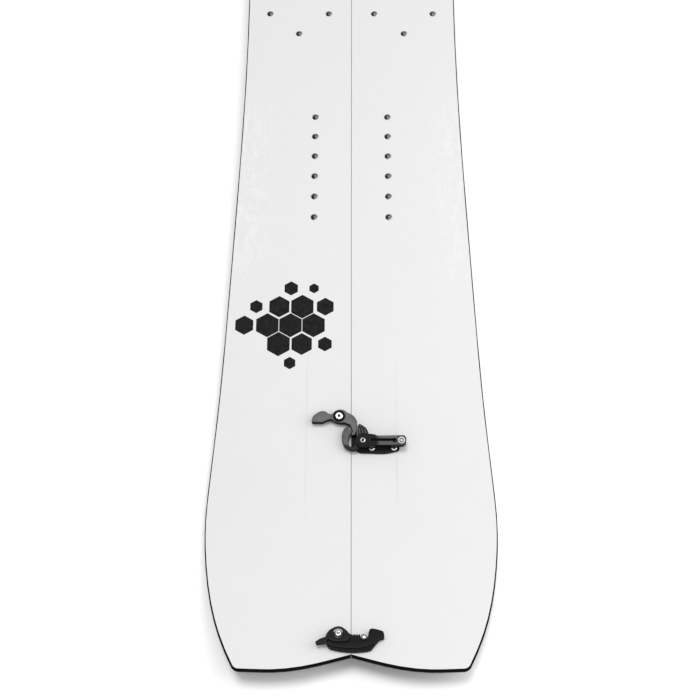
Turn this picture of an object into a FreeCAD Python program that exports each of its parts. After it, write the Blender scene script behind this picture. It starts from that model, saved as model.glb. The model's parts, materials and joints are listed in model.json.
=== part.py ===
import FreeCAD, Part
import math
import os
import Sketcher
from FreeCAD import Placement, Rotation, Vector

# A splitboard: a snowboard made of two long halves that meet on a seam and are held together by
# two lever clips and two tip clips. Millimetres. +Y points to the nose, +X to the right half and
# +Z out of the topsheet. The origin is on the floor, on the seam, under the middle of the board.

doc = FreeCAD.newDocument("splitboard")

# ---------------------------------------------------------------- driving dimensions
SIZES = {
    # plan outline
    "board_length": 1600.0,
    "seam_gap": 0.3,
    "corner_radius": 8.0,
    # side profile of the underside
    "camber_height": 5.0,
    "tail_contact": -645.0,
    "nose_contact": 590.0,
    "tail_rise": 26.0,
    "nose_rise": 48.0,
    # laminate build-up, bottom to top
    "base_thick": 1.2,
    "lower_lam_thick": 0.8,
    "core_mid": 6.2,
    "core_tip": 3.2,
    "core_flat_half": 350.0,
    "core_taper_end": 650.0,
    "upper_lam_thick": 0.8,
    "topsheet_thick": 0.6,
    "edge_width": 2.0,
    "wall_width": 4.5,
    "topsheet_inset": 1.2,
    "seam_inset": 0.1,
    "tail_inset": 1.6,
    # threaded inserts in the board
    "ride_pitch": 25.4,
    "ride_column": 40.5,
    "ride_count": 6.0,
    "rear_stance": -260.0,
    "front_stance": 240.0,
    "insert_barrel_rad": 4.0,
    "insert_bore_rad": 2.5,
    "insert_flange_rad": 7.5,
    "insert_flange_thick": 0.9,
    "insert_recess": 0.3,
    "insert_floor": 0.4,
    "pocket_rise": 3.0,
    "bore_start": -1.0,
    "bore_reach": 20.0,
    "heel_row": -53.5,
    "touring_row": 150.0,
    "triangle_depth": 28.5,
    "triangle_inner": 26.6,
    "triangle_outer": 95.6,
    # lever clips
    "rear_clip_line": -577.8,
    "front_clip_line": 556.0,
    "lever_pivot_side": 11.4,
    "hook_pivot_side": -12.2,
    "hook_pivot_ahead": 26.4,
    "hook_bottom": 1.0,
    "hook_thick": 7.4,
    "hook_bore_rad": 4.26,
    "hook_seat_rad": 5.95,
    "hook_seat_depth": 1.6,
    "bushing_barrel_rad": 4.2,
    "bushing_flange_rad": 5.7,
    "bushing_lift": 0.15,
    "seat_gap": 0.1,
    "screw_head_rad": 3.85,
    "screw_reach": 3.3,
    "plate_bottom": 0.2,
    "plate_thick": 2.0,
    "foot_thin": 0.6,
    "fin_top": 8.1,
    "claw_bottom": 2.5,
    "claw_thick": 5.7,
    "claw_inner_rad": 14.2,
    "hook_tip_rad": 13.4,
    "lever_bottom": 8.7,
    "lever_thick": 4.5,
    "lever_reach": 43.3,
    "skirt_bottom": 4.6,
    "skirt_start": 20.8,
    "slot_depth": 3.6,
    "plate_head_rad": 3.0,
    "plate_head_high": 1.8,
    "hook_head_high": 1.7,
    "socket_rad": 1.3,
    "hook_socket_rad": 1.617,
    "socket_tool_high": 3.0,
    "hook_socket_floor": 0.4,
    "plate_socket_floor": 0.6,
    "shank_gap": 0.05,
    "pin_rad": 1.6,
    "pin_head_rad": 2.6,
    "pin_head_high": 0.9,
    "groove_depth": 1.6,
    "pin_bore_rad": 1.66,
    "small_bore_rad": 1.95,
    "small_shank_rad": 1.9,
    "small_barrel_rad": 3.5,
    "small_flange_rad": 6.0,
    # tip clips
    "tail_clip_line": -768.2,
    "nose_clip_line": 764.0,
    "tip_pivot_side": -11.8,
    "post_from_pivot": 23.4,
    "post_behind_pivot": 2.3,
    "post_rad": 2.75,
    "post_stand": 0.7,
    "notch_gap": 0.35,
    "arm_bottom": 1.6,
    "arm_shelf_depth": 2.6,
    "tooth_depth": 3.0,
    "arm_thick": 5.5,
    "cap_bottom": 7.4,
    "cap_thick": 2.8,
    "cap_seat_depth": 0.8,
    "tip_bore_rad": 1.96,
    "washer_rad": 4.6,
    "wide_washer_rad": 5.0,
    "washer_thick": 0.9,
    "washer_lift": 0.25,
    "spacer_thick": 1.1,
    "foot_thick": 1.05,
    "tip_thread_reach": 3.0,
    "tip_head_rad": 2.8,
    "tip_head_high": 1.5,
    "post_head_high": 1.2,
    "tip_socket_floor": 0.7,
    "post_socket_floor": 0.3,
}

sheet = doc.addObject("Spreadsheet::Sheet", "sizes")
for row, (word, number) in enumerate(SIZES.items(), start=1):
    sheet.set("A%d" % row, word)
    sheet.set("B%d" % row, str(number))
    sheet.setAlias("B%d" % row, word)
doc.recompute()


def size(word):
    """The value of one cell of the sheet."""
    return float(sheet.get(word))


FINISHED = []


def finished(obj, label, placement=None):
    """Name a finished sub-part, put it in its place and list it for the export."""
    obj.Label = label
    if placement is not None:
        obj.Placement = placement
    FINISHED.append(obj)
    return obj


# ---------------------------------------------------------------- side profile
HALF_LENGTH = size("board_length") / 2
RUNOUT = 15.0        # the profile curves run this far past the tips
STATIONS = 35        # stations along a profile curve
REACH_ACROSS = 200.0  # half the width of a layer strip, wider than the board
BLOCK_BOTTOM = -20.0  # a plan block starts below the floor
BLOCK_HIGH = 120.0    # and ends above the nose


def smooth(share):
    """0 to 1 with a level start and end."""
    share = min(1.0, max(0.0, share))
    return 0.5 - 0.5 * math.cos(math.pi * share)


def underside(y):
    """Height of the underside: camber between the two contact lines, raised tips outside."""
    tail = size("tail_contact")
    nose = size("nose_contact")
    if y < tail:
        return size("tail_rise") * ((tail - y) / (HALF_LENGTH + tail)) ** 2
    if y > nose:
        return size("nose_rise") * ((y - nose) / (HALF_LENGTH - nose)) ** 2
    middle = (tail + nose) / 2
    reach = (nose - tail) / 2
    return size("camber_height") * smooth(1 - abs(y - middle) / reach)


def core_thickness(y):
    """The core is full between the feet and thins towards both tips."""
    start = size("core_flat_half")
    share = (abs(y) - start) / (size("core_taper_end") - start)
    return size("core_mid") + (size("core_tip") - size("core_mid")) * smooth(share)


def level(y, layer):
    """Height of the top of a layer above the floor."""
    height = underside(y)
    if layer == "underside":
        return height
    height += size("base_thick")
    if layer == "base":
        return height
    height += size("lower_lam_thick")
    if layer == "lower":
        return height
    height += core_thickness(y)
    if layer == "core":
        return height
    height += size("upper_lam_thick")
    if layer == "upper":
        return height
    return height + size("topsheet_thick")


def profile_curve(layer):
    """The line of one layer's top, from tail to nose, in the YZ plane."""
    points = []
    step = 2 * (HALF_LENGTH + RUNOUT) / (STATIONS - 1)
    for i in range(STATIONS):
        y = -HALF_LENGTH - RUNOUT + i * step
        points.append(Vector(-REACH_ACROSS, y, level(y, layer)))
    curve = Part.BSplineCurve()
    curve.interpolate(points)
    return curve.toShape()


def layer_strip(name, low, high):
    """A band between two layer lines, extruded right across both halves."""
    bottom = profile_curve(low)
    top = profile_curve(high)
    first = Part.makeLine(bottom.Vertexes[0].Point, top.Vertexes[0].Point)
    last = Part.makeLine(bottom.Vertexes[-1].Point, top.Vertexes[-1].Point)
    wire = Part.Wire(Part.__sortEdges__([bottom, last, top, first]))
    obj = doc.addObject("Part::Feature", name)
    obj.Shape = Part.Face(wire).extrude(Vector(2 * REACH_ACROSS, 0, 0))
    return obj


# ---------------------------------------------------------------- plan outline of one half
# Points of the right half's free side from the nose tip to the tail corner: (x, y).
SIDE_POINTS = [
    (0.0, 800.0), (52.0, 792.5), (96.0, 765.0), (128.0, 720.0), (143.5, 665.0), (145.5, 610.0),
    (139.5, 480.0), (130.5, 300.0), (123.6, 100.0), (120.9, -110.0), (123.6, -255.0),
    (128.7, -400.0), (134.6, -533.0), (140.4, -616.0), (142.5, -657.0), (138.9, -705.0),
    (127.6, -754.0), (108.9, -795.0),
]
NOSE_HEADING = Vector(1, 0, 0)
CORNER_HEADING = Vector(-0.5, -0.866, 0).normalize()
# Points of the tail edge from the corner to the notch at the seam.
TAIL_POINTS = [(82.0, -799.7), (50.0, -797.8), (19.0, -791.3), (0.0, -786.3)]
TAIL_HEADING = Vector(-1, 0, 0)
NOTCH_HEADING = Vector(-0.967, 0.254, 0).normalize()


def inward(heading):
    """The unit normal to the right of the direction of travel, into the board."""
    return Vector(heading.y, -heading.x, 0)


def inset_curve(points, first_heading, last_heading, inset, seam_x, seam_end):
    """A smooth curve through points, moved inwards; the end at the seam slides onto the seam."""
    base = Part.BSplineCurve()
    base.interpolate(Points=points, InitialTangent=first_heading, FinalTangent=last_heading,
                     Scale=False)
    moved = []
    for point in points:
        heading = base.tangent(base.parameter(point))[0]
        moved.append(point + inward(heading) * inset)
    heading = first_heading if seam_end == 0 else last_heading
    slide = (seam_x - moved[seam_end].x) / heading.x
    moved[seam_end] = moved[seam_end] + heading * slide
    curve = Part.BSplineCurve()
    curve.interpolate(Points=moved, InitialTangent=first_heading, FinalTangent=last_heading,
                      Scale=False)
    return curve.toShape()


def half_outline(inset, seam_inset):
    """The closed outline of the right half, moved inwards all round."""
    seam_x = size("seam_gap") / 2 + seam_inset
    side = [Vector(x, y, 0) for x, y in SIDE_POINTS]
    radius = size("corner_radius")
    centre = side[-1] + inward(CORNER_HEADING) * radius
    corner_end = centre - inward(TAIL_HEADING) * radius
    tail = [corner_end] + [Vector(x, y, 0) for x, y in TAIL_POINTS]
    side_edge = inset_curve(side, NOSE_HEADING, CORNER_HEADING, inset, seam_x, 0)
    tail_edge = inset_curve(tail, TAIL_HEADING, NOTCH_HEADING, inset, seam_x, -1)
    start = side_edge.Vertexes[-1].Point
    end = tail_edge.Vertexes[0].Point
    middle = (inward(CORNER_HEADING) + inward(TAIL_HEADING)).normalize()
    corner = Part.Arc(start, centre - middle * (radius - inset), end).toShape()
    seam = Part.makeLine(tail_edge.Vertexes[-1].Point, side_edge.Vertexes[0].Point)
    return Part.Wire([side_edge, corner, tail_edge, seam])


def plan_prism(name, side, inset, seam_inset):
    """A tall block with the plan outline of one half; side is +1 right, -1 left."""
    block = Part.Face(half_outline(inset, seam_inset)).extrude(Vector(0, 0, BLOCK_HIGH))
    block.translate(Vector(0, 0, BLOCK_BOTTOM))
    if side < 0:
        block = block.mirror(Vector(0, 0, 0), Vector(1, 0, 0))
    obj = doc.addObject("Part::Feature", name)
    obj.Shape = block
    return obj


# ---------------------------------------------------------------- shape helpers
def expression(obj, **bindings):
    """Bind properties of an object to cells of the sheet."""
    for prop, formula in bindings.items():
        obj.setExpression(prop, formula)


def cylinder(name, radius, height, bottom="0"):
    """A Part cylinder on the Z axis whose sizes are formulas on the sheet."""
    obj = doc.addObject("Part::Cylinder", name)
    obj.setExpression("Radius", radius)
    obj.setExpression("Height", height)
    obj.setExpression("Placement.Base.z", bottom)
    return obj


def fuse(name, *parts):
    obj = doc.addObject("Part::MultiFuse", name)
    obj.Shapes = list(parts)
    return obj


def cut(name, base, tool):
    obj = doc.addObject("Part::Cut", name)
    obj.Base = base
    obj.Tool = tool
    return obj


def common(name, base, tool):
    obj = doc.addObject("Part::Common", name)
    obj.Base = base
    obj.Tool = tool
    return obj


def group(name, shapes):
    """Separate identical solids kept together under one name."""
    obj = doc.addObject("Part::Feature", name)
    obj.Shape = Part.makeCompound(shapes)
    return finished(obj, name)


def origin_plane(body, role):
    for feature in body.Origin.OriginFeatures:
        if feature.Role == role:
            return feature
    raise ValueError(role)


def outline_edges(path):
    """Edges of a closed path: a two-number entry is a corner, a four-number entry is an arc
    through its first point to its second point."""
    here = Vector(path[0][-2], path[0][-1], 0)
    start = here
    edges = []
    for entry in path[1:] + [(start.x, start.y)]:
        there = Vector(entry[-2], entry[-1], 0)
        if len(entry) == 4:
            edges.append(Part.Arc(here, Vector(entry[0], entry[1], 0), there))
        elif (there - here).Length > 1e-6:
            edges.append(Part.LineSegment(here, there))
        here = there
    return edges


def sketch_at(body, name, height):
    """A sketch on the body's XY plane, lifted by a formula on the sheet."""
    sketch = body.newObject("Sketcher::SketchObject", name)
    sketch.AttachmentSupport = (origin_plane(body, "XY_Plane"), [""])
    sketch.MapMode = "FlatFace"
    sketch.setExpression("AttachmentOffset.Base.z", height)
    return sketch


def pad(body, name, path, bottom, thick, holes=()):
    """A plate: a closed path with round holes (x, y, formula of the radius)."""
    sketch = sketch_at(body, name + "_sketch", bottom)
    for edge in outline_edges(path):
        sketch.addGeometry(edge, False)
    for x, y, radius in holes:
        index = sketch.addGeometry(Part.Circle(Vector(x, y, 0), Vector(0, 0, 1), 1.0), False)
        number = sketch.addConstraint(Sketcher.Constraint("Radius", index, 1.0))
        sketch.setExpression("Constraints[%d]" % number, radius)
    feature = body.newObject("PartDesign::Pad", name)
    feature.Profile = sketch
    feature.setExpression("Length", thick)
    body.Tip = feature
    return feature


def round_pocket(body, name, x, y, radius, top, depth):
    """A round seat sunk into the top of a plate."""
    sketch = sketch_at(body, name + "_sketch", top)
    index = sketch.addGeometry(Part.Circle(Vector(x, y, 0), Vector(0, 0, 1), 1.0), False)
    number = sketch.addConstraint(Sketcher.Constraint("Radius", index, 1.0))
    sketch.setExpression("Constraints[%d]" % number, radius)
    feature = body.newObject("PartDesign::Pocket", name)
    feature.Profile = sketch
    feature.setExpression("Length", depth)
    body.Tip = feature
    return feature


def path_pocket(body, name, path, top, depth):
    """A shaped recess sunk into the top of a plate."""
    sketch = sketch_at(body, name + "_sketch", top)
    for edge in outline_edges(path):
        sketch.addGeometry(edge, False)
    feature = body.newObject("PartDesign::Pocket", name)
    feature.Profile = sketch
    feature.setExpression("Length", depth)
    body.Tip = feature
    return feature


def surface_frame(y, half_turn=False):
    """A placement on the topsheet at the seam, its Z along the surface's normal there."""
    reach = 1.0
    rise = level(y + reach, "top") - level(y - reach, "top")
    tilt = Rotation(Vector(1, 0, 0), math.degrees(math.atan2(rise, 2 * reach)))
    turn = Rotation(Vector(0, 0, 1), 180 if half_turn else 0)
    return Placement(Vector(0, y, level(y, "top")), tilt.multiply(turn))


def shifted(frame, x, y, z=0.0):
    """The same frame moved within itself."""
    return frame.multiply(Placement(Vector(x, y, z), Rotation()))


def polar(radius, degrees):
    angle = math.radians(degrees)
    return radius * math.cos(angle), radius * math.sin(angle)


# ---------------------------------------------------------------- where the fasteners go
REAR_FRAME = surface_frame(size("rear_clip_line"))
FRONT_FRAME = surface_frame(size("front_clip_line"))
TAIL_FRAME = surface_frame(size("tail_clip_line"))
NOSE_FRAME = surface_frame(size("nose_clip_line"), half_turn=True)

PLATE_SCREWS = [(9.1, -5.2), (31.2, -5.0)]      # from the lever pivot


def insert_shape(barrel, bore, flange, depth, tool=False):
    """A flanged threaded insert hanging below its frame's origin, or the pocket it fills."""
    recess = size("insert_recess")
    up = size("pocket_rise") if tool else -recess
    solid = Part.makeCylinder(barrel, depth + up, Vector(0, 0, -depth))
    foot = Part.makeCylinder(flange, size("insert_flange_thick"), Vector(0, 0, -depth))
    solid = solid.fuse(foot).removeSplitter()
    if tool:
        return solid
    hole = Part.makeCylinder(bore, depth, Vector(0, 0, -depth + size("insert_flange_thick")))
    return solid.cut(hole)


def insert_depth(y, tilt_share=1.0):
    """How far an insert reaches down so that it ends inside the core."""
    skins = size("upper_lam_thick") + size("topsheet_thick")
    return (skins + core_thickness(y)) * tilt_share - size("insert_floor")


def board_insert(x, y, tool):
    """A large insert for bindings, straight down from the topsheet."""
    shape = insert_shape(size("insert_barrel_rad"), size("insert_bore_rad"),
                         size("insert_flange_rad"), insert_depth(y), tool)
    shape.translate(Vector(x, y, level(y, "top")))
    return shape


def clip_insert(frame, x, y, large, tool):
    """An insert under a clip, square to the surface at the clip."""
    place = shifted(frame, x, y)
    straightness = place.Rotation.multVec(Vector(0, 0, 1)).z
    barrel = size("insert_barrel_rad") if large else size("small_barrel_rad")
    bore = size("insert_bore_rad") if large else size("small_bore_rad")
    depth = insert_depth(place.Base.y, straightness)
    shape = insert_shape(barrel, bore, size("small_flange_rad"), depth, tool)
    shape.Placement = place
    return shape


def ride_places(side):
    places = []
    count = int(size("ride_count"))
    for stance in ("rear_stance", "front_stance"):
        for i in range(count):
            y = size(stance) + (i - (count - 1) / 2) * size("ride_pitch")
            places.append((side * size("ride_column"), y))
    return places


def triangle_places(side):
    places = []
    inner = size("triangle_inner")
    outer = size("triangle_outer")
    for row in ("heel_row", "touring_row"):
        y = size(row)
        places.append((side * inner, y))
        places.append((side * outer, y))
        places.append((side * (inner + outer) / 2, y - size("triangle_depth")))
    return places


def clip_insert_shapes(side, tool):
    shapes = []
    pivot = size("lever_pivot_side")
    for frame in (REAR_FRAME, FRONT_FRAME):
        if side < 0:
            shapes.append(clip_insert(frame, size("hook_pivot_side"), size("hook_pivot_ahead"),
                                      True, tool))
        else:
            for x, y in PLATE_SCREWS:
                shapes.append(clip_insert(frame, pivot + x, y, False, tool))
    arm_pivot = size("tip_pivot_side")
    post = arm_pivot + size("post_from_pivot")
    behind = -size("post_behind_pivot")
    tail_x, tail_y = (arm_pivot, 0.0) if side < 0 else (post, behind)
    nose_x, nose_y = (post, behind) if side < 0 else (arm_pivot, 0.0)
    shapes.append(clip_insert(TAIL_FRAME, tail_x, tail_y, False, tool))
    shapes.append(clip_insert(NOSE_FRAME, nose_x, nose_y, False, tool))
    return shapes


# ---------------------------------------------------------------- the two laminated halves
STRIPS = {
    "edge": layer_strip("edge_strip", "underside", "lower"),
    "base": layer_strip("base_strip", "underside", "base"),
    "lower": layer_strip("lower_strip", "base", "lower"),
    "core": layer_strip("core_strip", "lower", "core"),
    "upper": layer_strip("upper_strip", "core", "upper"),
    "top": layer_strip("top_strip", "upper", "top"),
}


def build_half(side):
    """One half of the board: seven layers and its three groups of inserts."""
    hand = "right" if side > 0 else "left"
    edge_width = size("edge_width")
    wall_width = size("wall_width")
    sheet_inset = size("topsheet_inset")
    outer = plan_prism("plan_outer_" + hand, side, 0.0, 0.0)
    inside_edge = plan_prism("plan_inside_edge_" + hand, side, edge_width, edge_width)
    inside_wall = plan_prism("plan_inside_wall_" + hand, side, wall_width, wall_width)
    inset_top = plan_prism("plan_top_" + hand, side, sheet_inset, size("seam_inset"))
    stepped_top = plan_prism("plan_top_step_" + hand, side, sheet_inset, size("seam_inset"))
    stepped_top.Placement.Base = Vector(0, size("tail_inset"), 0)
    sheet_plan = common("plan_sheet_" + hand, inset_top, stepped_top)

    tools = []
    for x, y in ride_places(side) + triangle_places(side):
        tools.append(board_insert(x, y, True))
    tools += clip_insert_shapes(side, True)
    pockets = doc.addObject("Part::Feature", "insert_pockets_" + hand)
    pockets.Shape = Part.makeCompound(tools)

    def layer(word, strip, plan, hollow=None):
        piece = common(word + "_" + hand + "_body", STRIPS[strip], plan)
        if hollow is not None:
            piece = cut(word + "_" + hand + "_cut", piece, hollow)
        finished(piece, hand + "_" + word)

    layer("base", "base", inside_edge)
    layer("steel_edge", "edge", outer, inside_edge)
    layer("lower_laminate", "lower", inside_edge)
    layer("sidewall", "core", outer, inside_wall)
    layer("core", "core", inside_wall, pockets)
    layer("upper_laminate", "upper", sheet_plan, pockets)
    layer("topsheet", "top", sheet_plan, pockets)

    group(hand + "_ride_inserts", [board_insert(x, y, False) for x, y in ride_places(side)])
    group(hand + "_touring_inserts", [board_insert(x, y, False) for x, y in triangle_places(side)])
    group(hand + "_clip_inserts", clip_insert_shapes(side, False))


for board_side in (-1, 1):
    build_half(board_side)


# ---------------------------------------------------------------- lever clips
# Local frame of every outline: the lever pivot, X to the right half, Y to the nose.
HOOK_FROM_LEVER = (size("hook_pivot_side") - size("lever_pivot_side"), size("hook_pivot_ahead"))


def hook_path():
    """Outline of the left hook about the lever pivot: thumb tab, boss, arm and barbed tip."""
    hx, hy = HOOK_FROM_LEVER
    tip_rad = size("hook_tip_rad")
    throat = polar(tip_rad, 133.5)
    tip_mid = polar(tip_rad, 138.0)
    tip_end = polar(tip_rad, 143.0)
    return [
        (-5.5, 11.4),
        (-5.5, 20.6),
        (-8.9, 26.3, hx + 8.2, hy + 3.6),
        (hx + 0.4, hy + 6.9, hx - 6.4, hy + 2.6),
        (hx - 9.0, hy + 2.2, hx - 11.6, hy + 3.4),
        (hx - 16.8, hy + 5.3, hx - 21.8, hy + 3.2),
        (hx - 25.6, hy + 0.4, hx - 27.2, hy - 3.6),
        (hx - 27.1, hy - 5.6, hx - 25.6, hy - 6.2),
        (hx - 16.6, hy - 6.4),
        (hx - 13.0, hy - 4.6, hx - 10.2, hy - 3.6),
        (hx - 7.8, hy - 3.4, hx - 5.8, hy - 4.4),
        (hx - 0.8, hy - 6.6, hx + 4.8, hy - 6.6),
        (-12.6, 17.4),
        throat,
        tip_mid + tip_end,
        (-9.6, 6.5, -8.2, 7.0),
    ]


def claw_path():
    """Outline of the claw: a hub on the lever pivot and a crescent that holds the hook's tip."""
    inner = size("claw_inner_rad")
    mouth = polar(inner, 137.0)
    cave_mid = polar(inner, 168.0)
    cave_end = polar(inner, 200.0)
    return [
        (-15.9, 15.3),
        (-18.2, 13.6, -19.5, 11.2),
        (-20.8, 4.8, -19.9, -0.6),
        (-17.4, -5.5, -13.2, -7.9),
        (-8.6, -9.0, -2.6, -5.4),
        (6.0, 0.0, -5.6, 2.2),
        (-5.8, -1.2),
        (-9.8, -5.6),
        cave_end,
        cave_mid + mouth,
    ]


def plate_path():
    """Outline of the right base plate with a foot for the fin that guards the hook's arm."""
    return [
        (-8.8, 0.4),
        (-7.8, -5.2),
        (-5.0, -8.8, 0.6, -10.2),
        (14.0, -10.6),
        (25.5, -10.2, 33.4, -8.4),
        (36.0, -7.2, 36.6, -4.4),
        (36.6, 3.8),
        (35.8, 5.6, 34.0, 6.2),
        (6.4, 6.8),
        (5.2, 12.6, -1.4, 18.2),
        (-3.4, 19.0, -4.7, 17.4),
        (-4.3, 7.0),
        (-7.2, 4.4, -8.8, 0.4),
    ]


def foot_path():
    """Thin foot of the plate that reaches to the seam under the claw's mouth."""
    return [
        (-11.1, 8.6),
        (-11.1, -6.4),
        (-4.6, -8.0),
        (-4.0, 7.2),
        (-6.4, 9.6),
    ]


def fin_path():
    """Outline of the fin that guards the hook's arm."""
    return [
        (-4.2, 7.4),
        (5.6, 7.4),
        (4.4, 12.4, -1.5, 17.6),
        (-3.2, 18.4, -4.3, 17.0),
    ]


def lever_path():
    """Outline of the lever: round hub, shoulder, long handle with clipped end."""
    reach = size("lever_reach")
    return [
        (-6.2, 1.6),
        (-5.4, -4.0, 0.4, -6.4),
        (3.8, -6.6, 8.0, -5.6),
        (13.6, -4.9),
        (reach - 2.8, -4.9),
        (reach - 0.4, -3.2),
        (reach, 2.4),
        (reach - 2.2, 5.3),
        (14.6, 4.8),
        (9.8, 6.4, 4.6, 6.4),
        (-2.6, 6.8, -6.2, 1.6),
    ]


def skirt_path():
    """Outline of the deep end of the lever, a little inside the lever's own outline."""
    reach = size("lever_reach")
    start = size("skirt_start")
    return [
        (start, -4.6),
        (reach - 3.0, -4.6),
        (reach - 0.8, -3.0),
        (reach - 0.4, 2.2),
        (reach - 2.4, 5.0),
        (start, 4.5),
    ]


def lever_clip(word, frame):
    """Hook, bushing and screw on the left half; plate, claw, lever and pin on the right half."""
    lever_frame = shifted(frame, size("lever_pivot_side"), 0)
    hook_frame = shifted(frame, size("hook_pivot_side"), size("hook_pivot_ahead"))
    hx, hy = HOOK_FROM_LEVER

    hook = doc.addObject("PartDesign::Body", word + "_hook_body")
    pad(hook, word + "_hook_plate", hook_path(), "sizes.hook_bottom", "sizes.hook_thick",
        [(hx, hy, "sizes.hook_bore_rad")])
    round_pocket(hook, word + "_hook_seat", hx, hy, "sizes.hook_seat_rad",
                 "sizes.hook_bottom + sizes.hook_thick", "sizes.hook_seat_depth")
    finished(hook, word + "_hook", lever_frame)

    barrel = cylinder(word + "_bushing_barrel", "sizes.bushing_barrel_rad",
                      "sizes.hook_bottom + sizes.hook_thick - sizes.bushing_lift",
                      "sizes.bushing_lift")
    flange = cylinder(word + "_bushing_flange", "sizes.bushing_flange_rad",
                      "sizes.hook_seat_depth - sizes.seat_gap",
                      "sizes.hook_bottom + sizes.hook_thick - sizes.hook_seat_depth"
                      " + sizes.seat_gap")
    bore = cylinder(word + "_bushing_bore", "sizes.insert_bore_rad", "sizes.bore_reach",
                    "sizes.bore_start")
    bushing = cut(word + "_bushing_cut", fuse(word + "_bushing_body", barrel, flange), bore)
    finished(bushing, word + "_hook_bushing", hook_frame)

    top = "sizes.hook_bottom + sizes.hook_thick"
    shank = cylinder(word + "_hook_shank", "sizes.insert_bore_rad - sizes.shank_gap",
                     top + " + sizes.screw_reach", "-sizes.screw_reach")
    head = cylinder(word + "_hook_head", "sizes.screw_head_rad", "sizes.hook_head_high", top)
    socket = doc.addObject("Part::Prism", word + "_hook_socket")
    socket.Polygon = 6
    expression(socket, Circumradius="sizes.hook_socket_rad", Height="sizes.socket_tool_high")
    socket.setExpression("Placement.Base.z", top + " + sizes.hook_socket_floor")
    screw = cut(word + "_hook_screw_cut", fuse(word + "_hook_screw_body", shank, head), socket)
    finished(screw, word + "_hook_screw", hook_frame)

    plate = doc.addObject("PartDesign::Body", word + "_plate_body")
    holes = [(x, y, "sizes.small_bore_rad") for x, y in PLATE_SCREWS]
    holes.append((0.0, 0.0, "sizes.pin_rad"))
    pad(plate, word + "_plate_base", plate_path(), "sizes.plate_bottom", "sizes.plate_thick",
        holes)
    pad(plate, word + "_plate_foot", foot_path(), "sizes.plate_bottom", "sizes.foot_thin")
    fin_bottom = "sizes.plate_bottom + sizes.plate_thick"
    pad(plate, word + "_plate_fin", fin_path(), fin_bottom,
        "sizes.fin_top - (" + fin_bottom + ")")
    for number, groove_x in enumerate((-1.9, 1.1)):
        groove = [(groove_x, 9.6), (groove_x + 0.9, 9.6), (groove_x + 0.9, 19.5),
                  (groove_x, 19.5)]
        path_pocket(plate, word + "_fin_groove_%d" % number, groove, "sizes.fin_top",
                    "sizes.groove_depth")
    finished(plate, word + "_clip_plate", lever_frame)

    claw = doc.addObject("PartDesign::Body", word + "_claw_body")
    pad(claw, word + "_claw_plate", claw_path(), "sizes.claw_bottom", "sizes.claw_thick",
        [(0.0, 0.0, "sizes.pin_bore_rad")])
    finished(claw, word + "_claw", lever_frame)

    lever = doc.addObject("PartDesign::Body", word + "_lever_body")
    pad(lever, word + "_lever_plate", lever_path(), "sizes.lever_bottom", "sizes.lever_thick",
        [(0.0, 0.0, "sizes.pin_bore_rad")])
    pad(lever, word + "_lever_skirt", skirt_path(), "sizes.skirt_bottom",
        "sizes.lever_bottom - sizes.skirt_bottom")
    slot = [(8.0, -0.9), (29.6, -0.6), (31.5, -2.1, 33.4, -0.3), (31.7, 2.1, 29.8, 1.7),
            (8.0, 1.9)]
    path_pocket(lever, word + "_lever_slot", slot, "sizes.lever_bottom + sizes.lever_thick",
                "sizes.slot_depth")
    finished(lever, word + "_lever", lever_frame)

    pin_top = "sizes.lever_bottom + sizes.lever_thick"
    pin_shaft = cylinder(word + "_pin_shaft", "sizes.pin_rad", pin_top, "sizes.plate_bottom")
    pin_head = cylinder(word + "_pin_head", "sizes.pin_head_rad", "sizes.pin_head_high",
                        pin_top + " + sizes.seat_gap")
    finished(fuse(word + "_pin_body", pin_shaft, pin_head), word + "_pivot_pin", lever_frame)

    plate_top = "sizes.plate_bottom + sizes.plate_thick"
    small_shank = cylinder(word + "_plate_shank", "sizes.small_shank_rad",
                           plate_top + " + sizes.screw_reach", "-sizes.screw_reach")
    small_head = cylinder(word + "_plate_head", "sizes.plate_head_rad",
                          "sizes.plate_head_high", plate_top)
    small_socket = doc.addObject("Part::Prism", word + "_plate_socket")
    small_socket.Polygon = 6
    expression(small_socket, Circumradius="sizes.socket_rad", Height="sizes.socket_tool_high")
    small_socket.setExpression("Placement.Base.z", plate_top + " + sizes.plate_socket_floor")
    master = cut(word + "_plate_screw", fuse(word + "_plate_screw_body", small_shank, small_head),
                 small_socket)
    doc.recompute()
    screws = []
    for x, y in PLATE_SCREWS:
        copy = master.Shape.copy()
        copy.Placement = shifted(lever_frame, x, y).multiply(copy.Placement)
        screws.append(copy)
    group(word + "_plate_screws", screws)


lever_clip("rear", REAR_FRAME)
lever_clip("front", FRONT_FRAME)


# ---------------------------------------------------------------- tip clips
# Local frame: the arm's pivot screw, X across the seam, Y towards the middle of the board.
def arm_path():
    """Outline of the tip hook: hub, boat-shaped bar, toothed block, notch and finger lobe."""
    px = size("post_from_pivot")
    py = -size("post_behind_pivot")
    notch = size("post_rad") + size("notch_gap")
    return [
        (-10.9, -4.6),
        (-10.0, -9.4, -5.6, -12.6),
        (11.0, -15.2, 29.8, -13.5),
        (37.2, -4.4),
        (39.6, -3.3, 42.0, -2.9),
        (42.2, 0.4),
        (41.3, 3.4),
        (36.2, 5.2, 31.0, 6.2),
        (28.8, 5.4),
        (28.0, 3.0),
        (px + notch + 0.7, py + 1.0),
        (px - 0.2, py - notch, px - notch, py + 0.4),
        (px - notch - 0.2, 0.5),
        (11.6, 0.5),
        (7.6, 3.0),
        (0.0, 8.2, -8.0, 1.6),
    ]


def shelf_path():
    """The lower step along the arm's outer side; it runs out past the arm."""
    return [
        (-12.0, -8.2),
        (-8.8, -8.2),
        (-6.2, -10.4, -2.0, -11.2),
        (11.7, -12.4, 25.2, -11.3),
        (32.6, -8.4),
        (39.5, -8.4),
        (31.0, -18.0),
        (-12.0, -18.0),
    ]


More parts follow.
